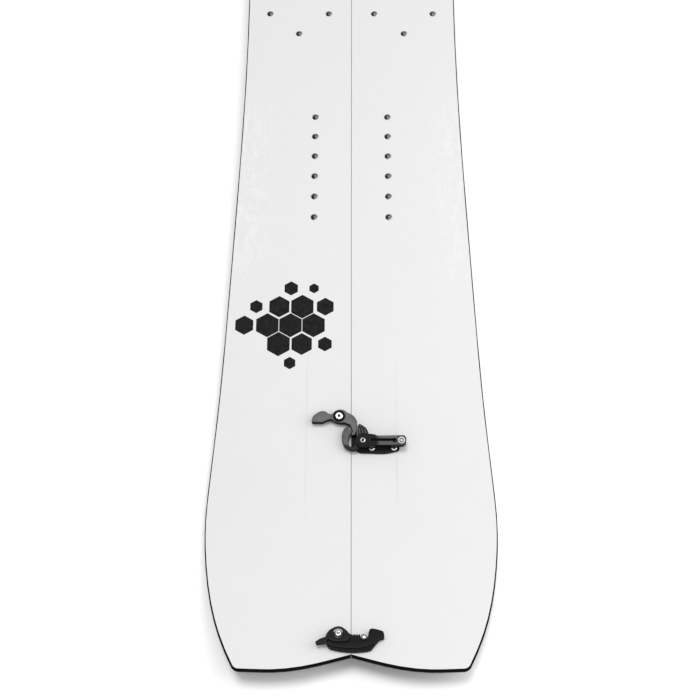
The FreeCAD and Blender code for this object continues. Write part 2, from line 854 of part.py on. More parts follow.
def teeth_paths():
    """Saw cuts that leave teeth on the block beside the notch."""
    paths = []
    for i in range(3):
        x = 13.0 + i * 2.4
        paths.append([(x, 0.7), (x + 1.1, 0.7), (x + 0.55, -0.6)])
    return paths


def cap_path():
    """Outline of the lock cap: rounded hub with a tab at its lower left."""
    return [
        (-9.6, -4.6),
        (-4.6, -7.0, 3.4, -6.9),
        (9.4, -5.8, 10.8, -1.8),
        (0.0, 6.3, -11.0, -0.8),
        (-11.6, -3.0),
        (-17.2, -5.0),
        (-18.8, -6.5),
        (-20.8, -7.3),
        (-19.9, -10.6),
        (-11.6, -9.5),
    ]


def tip_clip(word, frame):
    """Hook arm with its lock cap, screw and washers on one half; the post on the other half."""
    pivot_frame = shifted(frame, size("tip_pivot_side"), 0)
    post_frame = shifted(pivot_frame, size("post_from_pivot"), -size("post_behind_pivot"))

    arm = doc.addObject("PartDesign::Body", word + "_arm_body")
    pad(arm, word + "_arm_plate", arm_path(), "sizes.arm_bottom", "sizes.arm_thick",
        [(0.0, 0.0, "sizes.tip_bore_rad")])
    for number, path in enumerate(teeth_paths()):
        path_pocket(arm, word + "_tooth_%d" % number, path,
                    "sizes.arm_bottom + sizes.arm_thick", "sizes.tooth_depth")
    path_pocket(arm, word + "_arm_shelf", shelf_path(), "sizes.arm_bottom + sizes.arm_thick",
                "sizes.arm_shelf_depth")
    finished(arm, word + "_hook_arm", pivot_frame)

    cap = doc.addObject("PartDesign::Body", word + "_cap_body")
    pad(cap, word + "_cap_plate", cap_path(), "sizes.cap_bottom", "sizes.cap_thick",
        [(0.0, 0.0, "sizes.tip_bore_rad")])
    round_pocket(cap, word + "_cap_seat", 0.0, 0.0, "sizes.wide_washer_rad",
                 "sizes.cap_bottom + sizes.cap_thick", "sizes.cap_seat_depth")
    finished(cap, word + "_lock_cap", pivot_frame)

    cap_top = "sizes.cap_bottom + sizes.cap_thick"
    washer = cylinder(word + "_top_washer", "sizes.washer_rad", "sizes.washer_thick",
                      cap_top + " - sizes.cap_seat_depth + sizes.seat_gap")
    spacer = cylinder(word + "_spacer", "sizes.wide_washer_rad", "sizes.spacer_thick",
                      "sizes.washer_lift")
    bore = cylinder(word + "_washer_bore", "sizes.small_bore_rad", "sizes.bore_reach",
                    "sizes.bore_start")
    washers = cut(word + "_washers_cut", fuse(word + "_washers_body", washer, spacer), bore)
    finished(washers, word + "_clip_washers", pivot_frame)

    head_bottom = cap_top + " + 2 * sizes.seat_gap"
    shank = cylinder(word + "_tip_shank", "sizes.small_shank_rad",
                     head_bottom + " + sizes.tip_thread_reach", "-sizes.tip_thread_reach")
    head = cylinder(word + "_tip_head", "sizes.tip_head_rad", "sizes.tip_head_high", head_bottom)
    socket = doc.addObject("Part::Prism", word + "_tip_socket")
    socket.Polygon = 6
    expression(socket, Circumradius="sizes.socket_rad", Height="sizes.socket_tool_high")
    socket.setExpression("Placement.Base.z", cap_top + " + sizes.tip_socket_floor")
    screw = cut(word + "_tip_screw_cut", fuse(word + "_tip_screw_body", shank, head), socket)
    finished(screw, word + "_pivot_screw", pivot_frame)

    sleeve_top = "sizes.arm_bottom + sizes.arm_thick + sizes.post_stand"
    sleeve = cylinder(word + "_sleeve", "sizes.post_rad", sleeve_top + " - sizes.washer_lift",
                      "sizes.washer_lift")
    foot = cylinder(word + "_post_foot", "sizes.washer_rad", "sizes.foot_thick",
                    "sizes.washer_lift")
    post_bore = cylinder(word + "_post_bore", "sizes.small_bore_rad", "sizes.bore_reach",
                    "sizes.bore_start")
    post = cut(word + "_post_cut", fuse(word + "_post_body", sleeve, foot), post_bore)
    finished(post, word + "_post_sleeve", post_frame)

    post_shank = cylinder(word + "_post_shank", "sizes.small_shank_rad",
                          sleeve_top + " + sizes.tip_thread_reach", "-sizes.tip_thread_reach")
    post_head = cylinder(word + "_post_head", "sizes.post_rad", "sizes.post_head_high",
                         sleeve_top)
    post_socket = doc.addObject("Part::Prism", word + "_post_socket")
    post_socket.Polygon = 6
    expression(post_socket, Circumradius="sizes.socket_rad", Height="sizes.socket_tool_high")
    post_socket.setExpression("Placement.Base.z", sleeve_top + " + sizes.post_socket_floor")
    post_screw = cut(word + "_post_screw_cut",
                     fuse(word + "_post_screw_body", post_shank, post_head), post_socket)
    finished(post_screw, word + "_post_screw", post_frame)


tip_clip("tail", TAIL_FRAME)
tip_clip("nose", NOSE_FRAME)

# ---------------------------------------------------------------- check and write
doc.recompute()
for obj in doc.Objects:
    if "Invalid" in obj.State or "Error" in obj.State:
        raise RuntimeError("%s failed: %s" % (obj.Name, obj.State))
os.makedirs("parts", exist_ok=True)
for obj in FINISHED:
    shape = obj.Shape
    if shape.isNull() or not shape.isValid() or not shape.Solids:
        raise RuntimeError("%s has no good shape" % obj.Label)
    shape.exportStep("parts/%s.step" % obj.Label)
print("%d sub-parts written" % len(FINISHED))
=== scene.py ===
"""Splitboard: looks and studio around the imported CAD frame. Lengths are in metres."""
import json
import math

import bmesh
import bpy
from mathutils import Matrix, Vector
from mathutils.bvhtree import BVHTree


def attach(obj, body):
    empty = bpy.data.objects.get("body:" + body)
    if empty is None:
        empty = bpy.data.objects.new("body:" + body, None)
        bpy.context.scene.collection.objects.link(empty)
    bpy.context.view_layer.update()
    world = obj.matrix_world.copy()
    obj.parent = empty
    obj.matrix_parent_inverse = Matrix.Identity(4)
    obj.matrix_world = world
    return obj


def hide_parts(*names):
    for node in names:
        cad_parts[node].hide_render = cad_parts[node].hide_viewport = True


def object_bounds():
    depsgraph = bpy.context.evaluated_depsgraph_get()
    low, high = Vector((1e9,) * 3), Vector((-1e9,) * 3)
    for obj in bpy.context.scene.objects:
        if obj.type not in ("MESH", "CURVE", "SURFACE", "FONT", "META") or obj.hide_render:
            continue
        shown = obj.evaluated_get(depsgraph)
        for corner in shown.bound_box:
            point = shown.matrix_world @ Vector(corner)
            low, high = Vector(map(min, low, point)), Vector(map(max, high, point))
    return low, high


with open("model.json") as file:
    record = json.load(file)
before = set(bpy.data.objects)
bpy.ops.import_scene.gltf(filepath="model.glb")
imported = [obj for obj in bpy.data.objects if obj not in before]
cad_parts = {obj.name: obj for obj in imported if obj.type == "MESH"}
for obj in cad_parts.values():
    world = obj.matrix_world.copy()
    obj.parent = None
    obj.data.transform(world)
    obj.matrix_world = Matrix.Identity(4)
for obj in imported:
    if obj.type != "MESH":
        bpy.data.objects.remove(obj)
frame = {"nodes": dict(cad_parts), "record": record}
CAD_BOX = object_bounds()
NODES = frame["nodes"]
MM = 0.001
CLIP_PLACE = "clip_place"            # mesh attribute: place in mm from a pivot or a piece's top

# ------------------------------------------------------------------ camera
TILT = math.radians(21.786)          # off vertical, seen from the tail side
PAN = math.radians(0.078)
ROLL = math.radians(0.032)
CAMERA_PLACE = Vector((0.00016, -0.88549, 1.02992))
LENS = 54.67
SENSOR_WIDTH = 36.0

camera_data = bpy.data.cameras.new("camera")
camera_data.lens = LENS
camera_data.sensor_width = SENSOR_WIDTH
camera = bpy.data.objects.new("camera", camera_data)
bpy.context.scene.collection.objects.link(camera)
camera.matrix_world = (Matrix.Translation(CAMERA_PLACE) @ Matrix.Rotation(TILT, 4, "X")
                       @ Matrix.Rotation(PAN, 4, "Y") @ Matrix.Rotation(ROLL, 4, "Z"))
bpy.context.scene.camera = camera


# ------------------------------------------------------------------ material helpers
class Recipe:
    """A node material under construction. Coordinates are the object's own, in metres."""

    def __init__(self, name, color, roughness, metallic=0.0):
        self.material = bpy.data.materials.new(name)
        self.material.use_nodes = True
        tree = self.material.node_tree
        self.nodes = tree.nodes
        self.links = tree.links
        self.bsdf = self.nodes["Principled BSDF"]
        self.bsdf.inputs["Base Color"].default_value = (*color, 1)
        self.bsdf.inputs["Roughness"].default_value = roughness
        self.bsdf.inputs["Metallic"].default_value = metallic
        self.coords = self.nodes.new("ShaderNodeTexCoord").outputs["Object"]

    def mapped(self, scale):
        node = self.nodes.new("ShaderNodeMapping")
        node.inputs["Scale"].default_value = scale
        self.links.new(self.coords, node.inputs["Vector"])
        return node.outputs["Vector"]

    def noise(self, scale, detail=4.0, rough=0.55, stretch=(1, 1, 1), distortion=0.0):
        node = self.nodes.new("ShaderNodeTexNoise")
        node.inputs["Scale"].default_value = scale
        node.inputs["Detail"].default_value = detail
        node.inputs["Roughness"].default_value = rough
        node.inputs["Distortion"].default_value = distortion
        self.links.new(self.mapped(stretch), node.inputs["Vector"])
        return node.outputs["Fac"]

    def cells(self, scale):
        node = self.nodes.new("ShaderNodeTexVoronoi")
        node.inputs["Scale"].default_value = scale
        self.links.new(self.mapped((1, 1, 1)), node.inputs["Vector"])
        return node.outputs["Distance"]

    def span(self, value, low, high, out_low=0.0, out_high=1.0, smooth=True):
        node = self.nodes.new("ShaderNodeMapRange")
        node.interpolation_type = "SMOOTHSTEP" if smooth else "LINEAR"
        node.inputs["From Min"].default_value = low
        node.inputs["From Max"].default_value = high
        node.inputs["To Min"].default_value = out_low
        node.inputs["To Max"].default_value = out_high
        self.links.new(value, node.inputs["Value"])
        return node.outputs["Result"]

    def math(self, operation, a, b=None):
        node = self.nodes.new("ShaderNodeMath")
        node.operation = operation
        for socket, value in zip(node.inputs, (a, b)):
            if isinstance(value, (int, float)):
                socket.default_value = value
            elif value is not None:
                self.links.new(value, socket)
        return node.outputs[0]

    def axis(self, letter):
        node = self.nodes.new("ShaderNodeSeparateXYZ")
        self.links.new(self.coords, node.inputs[0])
        return node.outputs[letter]

    def clip_axis(self, letter):
        """Place on a piece in mm, read from the attribute that Clip.places or turned_piece wrote."""
        node = self.nodes.new("ShaderNodeAttribute")
        node.attribute_name = CLIP_PLACE
        split = self.nodes.new("ShaderNodeSeparateXYZ")
        self.links.new(node.outputs["Vector"], split.inputs[0])
        return split.outputs[letter]

    def product(self, *shares):
        result = shares[0]
        for share in shares[1:]:
            result = self.math("MULTIPLY", result, share)
        return result

    def blend_color(self, share, first, second):
        node = self.nodes.new("ShaderNodeMix")
        node.data_type = "RGBA"
        self.links.new(share, node.inputs[0])
        for socket, value in ((node.inputs[6], first), (node.inputs[7], second)):
            if isinstance(value, tuple):
                socket.default_value = (*value, 1)
            else:
                self.links.new(value, socket)
        return node.outputs[2]

    def color(self, value):
        self.links.new(value, self.bsdf.inputs["Base Color"])

    def roughness(self, value):
        self.links.new(value, self.bsdf.inputs["Roughness"])

    def rough_between(self, value, low, high):
        """Roughness from low to high over the middle of a noise's range."""
        self.roughness(self.span(value, 0.3, 0.7, low, high))

    def bump(self, height, distance, strength=1.0):
        node = self.nodes.new("ShaderNodeBump")
        node.inputs["Strength"].default_value = strength
        node.inputs["Distance"].default_value = distance
        self.links.new(height, node.inputs["Height"])
        previous = self.bsdf.inputs["Normal"]
        if previous.is_linked:
            self.links.new(previous.links[0].from_socket, node.inputs["Normal"])
        self.links.new(node.outputs["Normal"], self.bsdf.inputs["Normal"])

    def sheen_level(self, level):
        """How strongly the surface mirrors its surroundings; 0.5 is ordinary plastic."""
        self.bsdf.inputs["Specular IOR Level"].default_value = level


def band(recipe, value, centre, half_width, soft):
    """1 inside a band about centre, falling to 0 over soft."""
    distance = recipe.math("ABSOLUTE", recipe.math("SUBTRACT", value, centre))
    return recipe.span(distance, half_width, half_width + soft, 1.0, 0.0)


# ------------------------------------------------------------------ materials
FLOOR_GLOW = 0.004                   # faint light given off by the sweep itself
FLECK_LINE = -0.285                  # middle of the flecked patches, beside the rear foot
FLECK_SIDE = (0.075, 0.112)          # they set in between these distances from the seam
STRINGER_SIDE = 0.0452               # distance of each stringer from the seam
STRINGER_LINE = -0.56                # middle of the stretch where they show, beside the rear clip
WOOD_STRIPS = 70.0                   # pairs of strips to a metre

# Where the tone changes on a small piece: from, to, in mm from its pivot or its top.
# The claw's painted shade gives way to grey across these two.
CLAW_GREY_LEFT = (-12.4, -10.6)
CLAW_GREY_ABOVE = (-4.6, -2.6)
# The lever's rear rail carries a painted highlight from here.
LEVER_REAR_RAIL = (0.4, 1.4)
# The lever's hub and the faces below its top carry painted shade within these.
LEVER_HUB_EDGE = (13.0, 17.5)
LEVER_DARK_END = (33.0, 36.0)
LEVER_UPPER_FACE = (11.4, 12.6)
FIN_ROOT = (7.6, 8.6)
# The washer's painted highlight: outside the first radius, beyond the second line.
WASHER_OUTER = (3.3, 3.7)
WASHER_FAR_SIDE = (0.6, 2.2)
SINK_SHADE = (-1.0, 3.0)
SINK_GLINT = (1.5, 2.9)
THREAD_LIT = (-1.5, 0.9)
SINK_BOTTOM = (-1.0, -0.8)
RIM_EDGE = (-0.05, -0.01)

# The ridges on the plate's fin, painted as light stripes of highlight, in mm from the lever's pivot.
RIB_RATE = 0.36                      # ridges to a mm
RIB_START = 20.6
RIB_BOW = 0.03                       # how strongly they curve
RIB_BOW_CENTRE = 7.0


def topsheet_material():
    """Satin white sheet: tone-on-tone print, stringer lines showing through, fine texture."""
    r = Recipe("topsheet_white", (0.66, 0.66, 0.665), 0.36)
    x = r.axis("X")
    y = r.axis("Y")
    white = (0.624, 0.624, 0.629)
    pale = (0.66, 0.66, 0.665)
    shade = (0.612, 0.612, 0.617)
    # tone-on-tone flecks beside the rear foot, towards the free edges
    flecks = r.span(r.noise(140.0, 6.0, 0.62, (1, 0.55, 1), 0.6), 0.50, 0.56)
    side = r.span(r.math("ABSOLUTE", x), *FLECK_SIDE)
    along = band(r, y, FLECK_LINE, 0.06, 0.09)
    tone = r.blend_color(r.product(flecks, side, along), white, pale)
    # slow clouding of the sheet
    clouds = r.span(r.noise(9.0, 3.0, 0.5, (1, 0.4, 1)), 0.35, 0.75, 0.0, 0.5)
    tone = r.blend_color(clouds, tone, shade)
    # stringers under the sheet telegraph through as faint lines beside the rear clip
    line = band(r, r.math("ABSOLUTE", x), STRINGER_SIDE, 0.0003, 0.0009)
    broken = r.span(r.noise(16.0, 3.0, 0.6, (0.2, 1, 1)), 0.36, 0.6, 0.25, 0.9)
    stretch = band(r, y, STRINGER_LINE, 0.045, 0.06)
    tone = r.blend_color(r.product(line, broken, stretch), tone, (0.57, 0.57, 0.575))
    # fine handling scuffs
    scuffs = r.span(r.noise(900.0, 2.0, 0.5, (1.0, 0.04, 1)), 0.66, 0.74, 0.0, 0.22)
    r.color(r.blend_color(scuffs, tone, (0.61, 0.61, 0.61)))
    r.rough_between(r.noise(60.0, 5.0, 0.6), 0.5, 0.64)
    r.bump(r.noise(1500.0, 3.0, 0.6), 0.00002, 0.5)
    r.bump(r.noise(35.0, 2.0, 0.5), 0.00006, 0.4)
    r.sheen_level(0.16)
    return r.material


def print_material():
    """Black screen-printed ink with a fine screen texture."""
    r = Recipe("black_ink", (0.006, 0.006, 0.006), 0.5)
    mottled = r.span(r.noise(420.0, 4.0, 0.6), 0.35, 0.7, 0.0, 1.0)
    r.color(r.blend_color(mottled, (0.005, 0.0045, 0.005), (0.010, 0.009, 0.0095)))
    r.rough_between(r.noise(200.0, 3.0), 0.42, 0.6)
    r.bump(r.cells(2600.0), 0.00002, 0.4)
    r.sheen_level(0.06)
    return r.material


def sidewall_material():
    """Black sidewall plastic, ground along the board."""
    r = Recipe("sidewall_black", (0.01, 0.01, 0.0105), 0.5)
    grind = r.noise(900.0, 4.0, 0.6, (1, 0.03, 1))
    wear = r.span(r.noise(70.0, 5.0, 0.65), 0.55, 0.78, 0.0, 0.6)
    r.color(r.blend_color(wear, (0.003, 0.003, 0.0035), (0.009, 0.009, 0.0095)))
    r.rough_between(grind, 0.42, 0.62)
    r.bump(grind, 0.00006, 0.5)
    r.sheen_level(0.03)
    return r.material


def edge_material():
    """Ground steel edge, coloured far darker than bare steel, with patchy tarnish."""
    r = Recipe("edge_steel", (0.06, 0.06, 0.062), 0.34, 0.6)
    grind = r.noise(1400.0, 3.0, 0.55, (1, 0.02, 1))
    tarnish = r.span(r.noise(45.0, 5.0, 0.7), 0.52, 0.72, 0.0, 0.7)
    steel = r.blend_color(grind, (0.018, 0.018, 0.019), (0.045, 0.045, 0.047))
    r.color(r.blend_color(tarnish, steel, (0.012, 0.011, 0.010)))
    r.sheen_level(0.1)
    r.rough_between(grind, 0.26, 0.46)
    r.bump(grind, 0.00004, 0.5)
    return r.material


def base_material():
    """Black sintered base with a stone-ground structure along the board and wax residue."""
    r = Recipe("base_black", (0.022, 0.022, 0.024), 0.4)
    structure = r.noise(1600.0, 2.0, 0.5, (1, 0.01, 1))
    wax = r.span(r.noise(18.0, 5.0, 0.6, (1, 0.35, 1)), 0.45, 0.7, 0.0, 0.5)
    r.color(r.blend_color(wax, (0.007, 0.007, 0.008), (0.024, 0.025, 0.027)))
    r.roughness(r.span(wax, 0.0, 0.5, 0.34, 0.52))
    r.bump(structure, 0.00005, 0.6)
    r.bump(r.cells(2200.0), 0.00002, 0.3)
    r.sheen_level(0.12)
    return r.material


def laminate_material():
    """Dark resin over crossed glass fibre."""
    r = Recipe("glass_laminate", (0.05, 0.05, 0.045), 0.4)
    fibre_a = r.noise(1800.0, 2.0, 0.5, (1, 0.05, 1))
    fibre_b = r.noise(1800.0, 2.0, 0.5, (0.05, 1, 1))
    weave = r.math("MAXIMUM", fibre_a, fibre_b)
    r.color(r.blend_color(r.span(weave, 0.45, 0.7), (0.012, 0.012, 0.011), (0.04, 0.04, 0.035)))
    r.bump(weave, 0.00003, 0.5)
    r.sheen_level(0.2)
    return r.material


def wood_material():
    """Vertical strips of pale and warmer wood glued side by side."""
    r = Recipe("wood_core", (0.6, 0.43, 0.25), 0.6)
    x = r.axis("X")
    strip = r.math("FRACT", r.math("MULTIPLY", x, WOOD_STRIPS))
    warm = r.span(strip, 0.46, 0.54)
    grain = r.noise(320.0, 6.0, 0.65, (1, 0.03, 1), 0.8)
    pale = r.blend_color(grain, (0.62, 0.46, 0.28), (0.74, 0.60, 0.40))
    brown = r.blend_color(grain, (0.44, 0.29, 0.15), (0.58, 0.41, 0.24))
    r.color(r.blend_color(warm, pale, brown))
    r.bump(grain, 0.0001, 0.4)
    return r.material


def blasted(r, dark, light):
    """Tone of a bead-blasted, lightly rubbed surface between two colours, with its bump."""
    blast = r.noise(2600.0, 3.0, 0.6)
    cloud = r.span(r.noise(160.0, 4.0, 0.6), 0.3, 0.7)
    tone = r.blend_color(cloud, dark, light)
    speck = r.span(blast, 0.52, 0.70, 0.0, 0.5)
    r.rough_between(blast, 0.38, 0.55)
    r.bump(blast, 0.00006, 0.7)
    return r.blend_color(speck, tone, tuple(min(1.0, c * 1.8) for c in light))


SHADE_BLACK = (0.005, 0.005, 0.0055)


def hook_material():
    """The bead-blasted top of the grey hook."""
    r = Recipe("grey_anodised", (0.12, 0.12, 0.12), 0.45, 0.3)
    r.color(blasted(r, (0.056, 0.055, 0.057), (0.078, 0.077, 0.079)))
    r.sheen_level(0.3)
    return r.material


def claw_material():
    """Grey crescent; its lower limb and root are black, painted shade. Places are in mm from the
    pivot.
    """
    r = Recipe("claw_anodised", (0.1, 0.1, 0.1), 0.45, 0.3)
    grey = blasted(r, (0.046, 0.045, 0.047), (0.067, 0.066, 0.068))
    # painted shade over the lower limb and root
    left = r.span(r.clip_axis("X"), *CLAW_GREY_LEFT, 1.0, 0.0)
    upper = r.span(r.clip_axis("Y"), *CLAW_GREY_ABOVE)
    r.color(r.blend_color(r.product(left, upper), SHADE_BLACK, grey))
    r.sheen_level(0.2)
    return r.material


def lever_material():
    """Lever top: black hub and lower faces in painted shade, then two rails in two greys, the rear
    one lighter as a painted highlight, dark end. Places are in mm.
    """
    r = Recipe("lever_anodised", (0.1, 0.1, 0.1), 0.45)
    grey = blasted(r, (0.06, 0.059, 0.061), (0.084, 0.083, 0.085))
    x = r.clip_axis("X")
    y = r.clip_axis("Y")
    # the rear rail is painted lighter: a painted highlight
    rear = r.span(y, *LEVER_REAR_RAIL)
    rails = r.blend_color(rear, grey, (0.10, 0.099, 0.101))
    end = r.span(x, *LEVER_DARK_END)
    rails = r.blend_color(end, rails, (0.06, 0.059, 0.061))
    # painted shade on the hub and below the top face; the hub's edge is made ragged
    ragged_hub_edge = r.span(r.noise(420.0, 4.0, 0.65), 0.3, 0.7, -1.4, 1.4, smooth=False)
    handle = r.span(r.math("ADD", x, ragged_hub_edge), *LEVER_HUB_EDGE)
    raised = r.span(r.clip_axis("Z"), *LEVER_UPPER_FACE)
    r.color(r.blend_color(r.product(handle, raised), SHADE_BLACK, rails))
    r.sheen_level(0.07)
    return r.material


def plate_material():
    """Black clip plate; its fin has light ridges, painted highlights, that curve with the claw's
    travel.
    """
    r = Recipe("clip_plate_nylon", (0.01, 0.01, 0.011), 0.5)
    grain = r.noise(2600.0, 4.0, 0.62)
    low = r.blend_color(grain, (0.007, 0.007, 0.0075), (0.016, 0.0155, 0.0165))
    x = r.clip_axis("X")
    y = r.clip_axis("Y")
    off_centre = r.math("SUBTRACT", y, RIB_BOW_CENTRE)
    bow = r.math("MULTIPLY", r.math("POWER", off_centre, 2.0), RIB_BOW)
    across = r.math("ADD", x, bow)
    rib = r.math("FRACT", r.math("MULTIPLY", r.math("ADD", across, RIB_START), RIB_RATE))
    # painted highlight along each ridge
    ridge_highlight = band(r, rib, 0.5, 0.10, 0.12)
    fin = r.product(ridge_highlight, r.span(y, *FIN_ROOT), r.span(grain, 0.2, 0.5, 0.6, 1.0))
    r.color(r.blend_color(fin, low, (0.11, 0.108, 0.11)))
    r.rough_between(grain, 0.42, 0.6)
    r.bump(grain, 0.00007, 0.7)
    r.sheen_level(0.06)
    return r.material


def washer_material():
    """Steel washer painted dark as a dark reflection, with a painted highlight along the far part of
    its rim.
    """
    r = Recipe("washer_steel", (0.05, 0.05, 0.05), 0.3, 1.0)
    x = r.clip_axis("X")
    y = r.clip_axis("Y")
    squares = r.math("ADD", r.math("POWER", x, 2.0), r.math("POWER", y, 2.0))
    radius = r.math("POWER", squares, 0.5)
    turned = r.noise(1500.0, 3.0, 0.5)
    dark = r.blend_color(turned, (0.012, 0.012, 0.0125), (0.03, 0.03, 0.031))
    # painted highlight on the outer rim's far side
    share = r.product(r.span(radius, *WASHER_OUTER), r.span(y, *WASHER_FAR_SIDE))
    r.color(r.blend_color(share, dark, (0.62, 0.62, 0.63)))
    r.rough_between(turned, 0.28, 0.42)
    r.bump(turned, 0.00002, 0.4)
    return r.material


def flank_shade_material(name, color, level):
    """Painted shade on anodised flanks and in sockets: near-black, with machining marks along the
    profile.
    """
    r = Recipe(name, color, 0.45)
    marks = r.noise(1200.0, 3.0, 0.6, (1, 1, 0.15))
    rub = r.span(r.noise(240.0, 5.0, 0.65), 0.55, 0.75, 0.0, 0.5)
    r.color(r.blend_color(rub, color, tuple(c * 2.6 for c in color)))
    r.rough_between(marks, 0.36, 0.56)
    r.bump(marks, 0.00004, 0.5)
    r.sheen_level(level)
    return r.material


def rim_material(name, color, level):
    """The rubbed rim of an anodised or moulded piece; the near-black rim of the grey metal pieces is
    painted shade.
    """
    r = Recipe(name, color, 0.4)
    rubbed = r.span(r.noise(500.0, 4.0, 0.65), 0.38, 0.66)
    r.color(r.blend_color(rubbed, tuple(c * 0.45 for c in color), color))
    r.rough_between(r.noise(900.0), 0.3, 0.5)
    r.sheen_level(level)
    return r.material


def nylon_material(name, low, high, level, step=None):
    """Glass-filled moulded nylon, faintly grainy; painted shade below a step given in mm."""
    r = Recipe(name, low, 0.5)
    grain = r.noise(2600.0, 4.0, 0.62)
    dust = r.span(r.noise(160.0, 5.0, 0.6), 0.5, 0.75, 0.0, 0.7)
    tone = r.blend_color(dust, low, high)
    if step:
        # faces below the step take painted shade
        above = r.span(r.clip_axis("Z"), step - 0.4, step + 0.4)
        tone = r.blend_color(above, SHADE_BLACK, tone)
    r.color(tone)
    r.rough_between(grain, 0.42, 0.6)
    r.bump(grain, 0.00007, 0.7)
    r.sheen_level(level)
    return r.material


def insert_material():
    """Steel insert: bright flat rim, countersink and threads that catch light on one side."""
    r = Recipe("insert_steel", (0.5, 0.5, 0.5), 0.35)
    x = r.clip_axis("X")
    y = r.clip_axis("Y")
    z = r.clip_axis("Z")
    turned = r.noise(1500.0, 3.0, 0.5)
    toward = r.math("SUBTRACT", r.math("MULTIPLY", x, 0.75), r.math("MULTIPLY", y, 0.66))
    sink = r.blend_color(r.span(x, *SINK_SHADE), SHADE_BLACK, (0.11, 0.11, 0.112))
    sink = r.blend_color(r.span(toward, *SINK_GLINT), sink, (0.66, 0.66, 0.67))
    thread = r.blend_color(r.span(x, *THREAD_LIT), (0.01, 0.01, 0.0105), (0.95, 0.95, 0.96))
    tone = r.blend_color(r.span(z, *SINK_BOTTOM), thread, sink)
    rim = r.blend_color(turned, (0.50, 0.50, 0.51), (0.62, 0.62, 0.63))
    r.color(r.blend_color(r.span(z, *RIM_EDGE), tone, rim))
    r.rough_between(turned, 0.3, 0.5)
    r.bump(turned, 0.00002, 0.4)
    r.sheen_level(0.3)
    return r.material


def steel_material(name, low, high, rough_low, rough_high):
    """Turned stainless steel."""
    r = Recipe(name, high, 0.2, 1.0)
    turned = r.noise(1500.0, 3.0, 0.5)
    r.color(r.blend_color(turned, low, high))
    r.rough_between(turned, rough_low, rough_high)
    r.bump(turned, 0.00002, 0.4)
    return r.material


def floor_material():
    """Plain white sweep."""
    r = Recipe("studio_floor", (0.93, 0.93, 0.93), 0.9)
    r.bsdf.inputs["Emission Color"].default_value = (1, 1, 1, 1)
    r.bsdf.inputs["Emission Strength"].default_value = FLOOR_GLOW
    r.color(r.blend_color(r.noise(2.0, 2.0), (0.925, 0.925, 0.925), (0.935, 0.935, 0.935)))
    r.sheen_level(0.0)
    return r.material


TOPSHEET = topsheet_material()
INK = print_material()
SIDEWALL = sidewall_material()
EDGE = edge_material()
BASE = base_material()
LAMINATE = laminate_material()
WOOD = wood_material()
HOOK_TOP = hook_material()
CLAW_TOP = claw_material()
LEVER_TOP = lever_material()
# Flanks of the grey metal pieces: near-black painted shade.
METAL_SIDE_SHADE = flank_shade_material("painted_shade_flank", (0.005, 0.005, 0.0055), 0.05)
# Bevelled rims of the grey metal pieces: painted shade, rubbed patchily.
METAL_RIM_SHADE = rim_material("rubbed_shaded_metal_rim", (0.02, 0.02, 0.021), 0.15)
PLATE = plate_material()
WASHER = washer_material()
NYLON = nylon_material("black_nylon", (0.010, 0.0095, 0.0105), (0.020, 0.019, 0.020), 0.08)
# The arm's faces below 6 mm carry painted shade.
ARM_NYLON = nylon_material("arm_nylon", (0.009, 0.0085, 0.0095), (0.016, 0.015, 0.016), 0.06, 6.0)
# Flanks of the nylon pieces: a darker copy of the black nylon, painted shade.
NYLON_SIDE_SHADE = nylon_material("shaded_nylon_flank", (0.004, 0.004, 0.0045), (0.009, 0.0085, 0.009), 0.03)
NYLON_RIM = rim_material("rubbed_nylon_rim", (0.02, 0.019, 0.021), 0.15)
BRIGHT = steel_material("bright_steel", (0.62, 0.62, 0.63), (0.84, 0.84, 0.85), 0.14, 0.3)
# A darker copy of the turned steel: painted shade in the screws' sockets; it also covers the post
# screw's rim and shank and the post sleeve.
GREY_STEEL = steel_material("grey_steel", (0.20, 0.20, 0.205), (0.34, 0.34, 0.345), 0.24, 0.4)
SOCKET = flank_shade_material("socket_shadow", (0.004, 0.004, 0.0045), 0.02)
INSERT = insert_material()
WHITE_INK = rim_material("white_ink", (0.85, 0.85, 0.85), 0.2)

SLOT_MATERIAL = {
    "topsheet": TOPSHEET, "sidewall": SIDEWALL, "base": BASE, "edge_steel": EDGE,
    "glass_laminate": LAMINATE, "wood_core": WOOD, "insert_steel": INSERT,
    "grey_anodised": HOOK_TOP, "lever_anodised": LEVER_TOP, "black_nylon": NYLON,
    "bright_steel": BRIGHT,
}
RECORD = frame["record"]
NODE_SLOT = {part["node"]: part["material_slot"] for part in RECORD["subparts"]}
NODE_BODY = {}
for body_name, members in RECORD["behaviour"]["bodies"].items():
    for member in members:
        NODE_BODY[member] = body_name
JOINTS = {joint["name"]: joint for joint in RECORD["behaviour"]["joints"]}

for node_name, node in NODES.items():
    node.data.materials.clear()
    node.data.materials.append(SLOT_MATERIAL[NODE_SLOT[node_name]])


# ------------------------------------------------------------------ mesh helpers
WELD = 1e-6                          # corners closer than this are one
FLAT_ANGLE = math.radians(1.5)       # faces that meet flatter than this become one
BEVEL_ANGLE = math.radians(35)       # edges sharper than this are broken
BEVEL_SHADING = math.radians(30)     # and shaded sharp above this
TURNED_SHADING = math.radians(28)    # the same on turned pieces
TOP_FACING = 0.985                   # a face counts as top when its normal is this near the axis
TURN_SIDES = 48                      # sides of a turned piece
HEX_HALF = math.pi / 6               # half the angle of one side of a hexagon


def new_object(name, mesh, materials):
    for entry in materials:
        mesh.materials.append(entry)
    obj = bpy.data.objects.new(name, mesh)
    bpy.context.scene.collection.objects.link(obj)
    return obj


def stand_for(obj, node_name):
    """The piece takes the CAD node's place and body, and the node is hidden."""
    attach(obj, NODE_BODY[node_name])
    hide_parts(node_name)


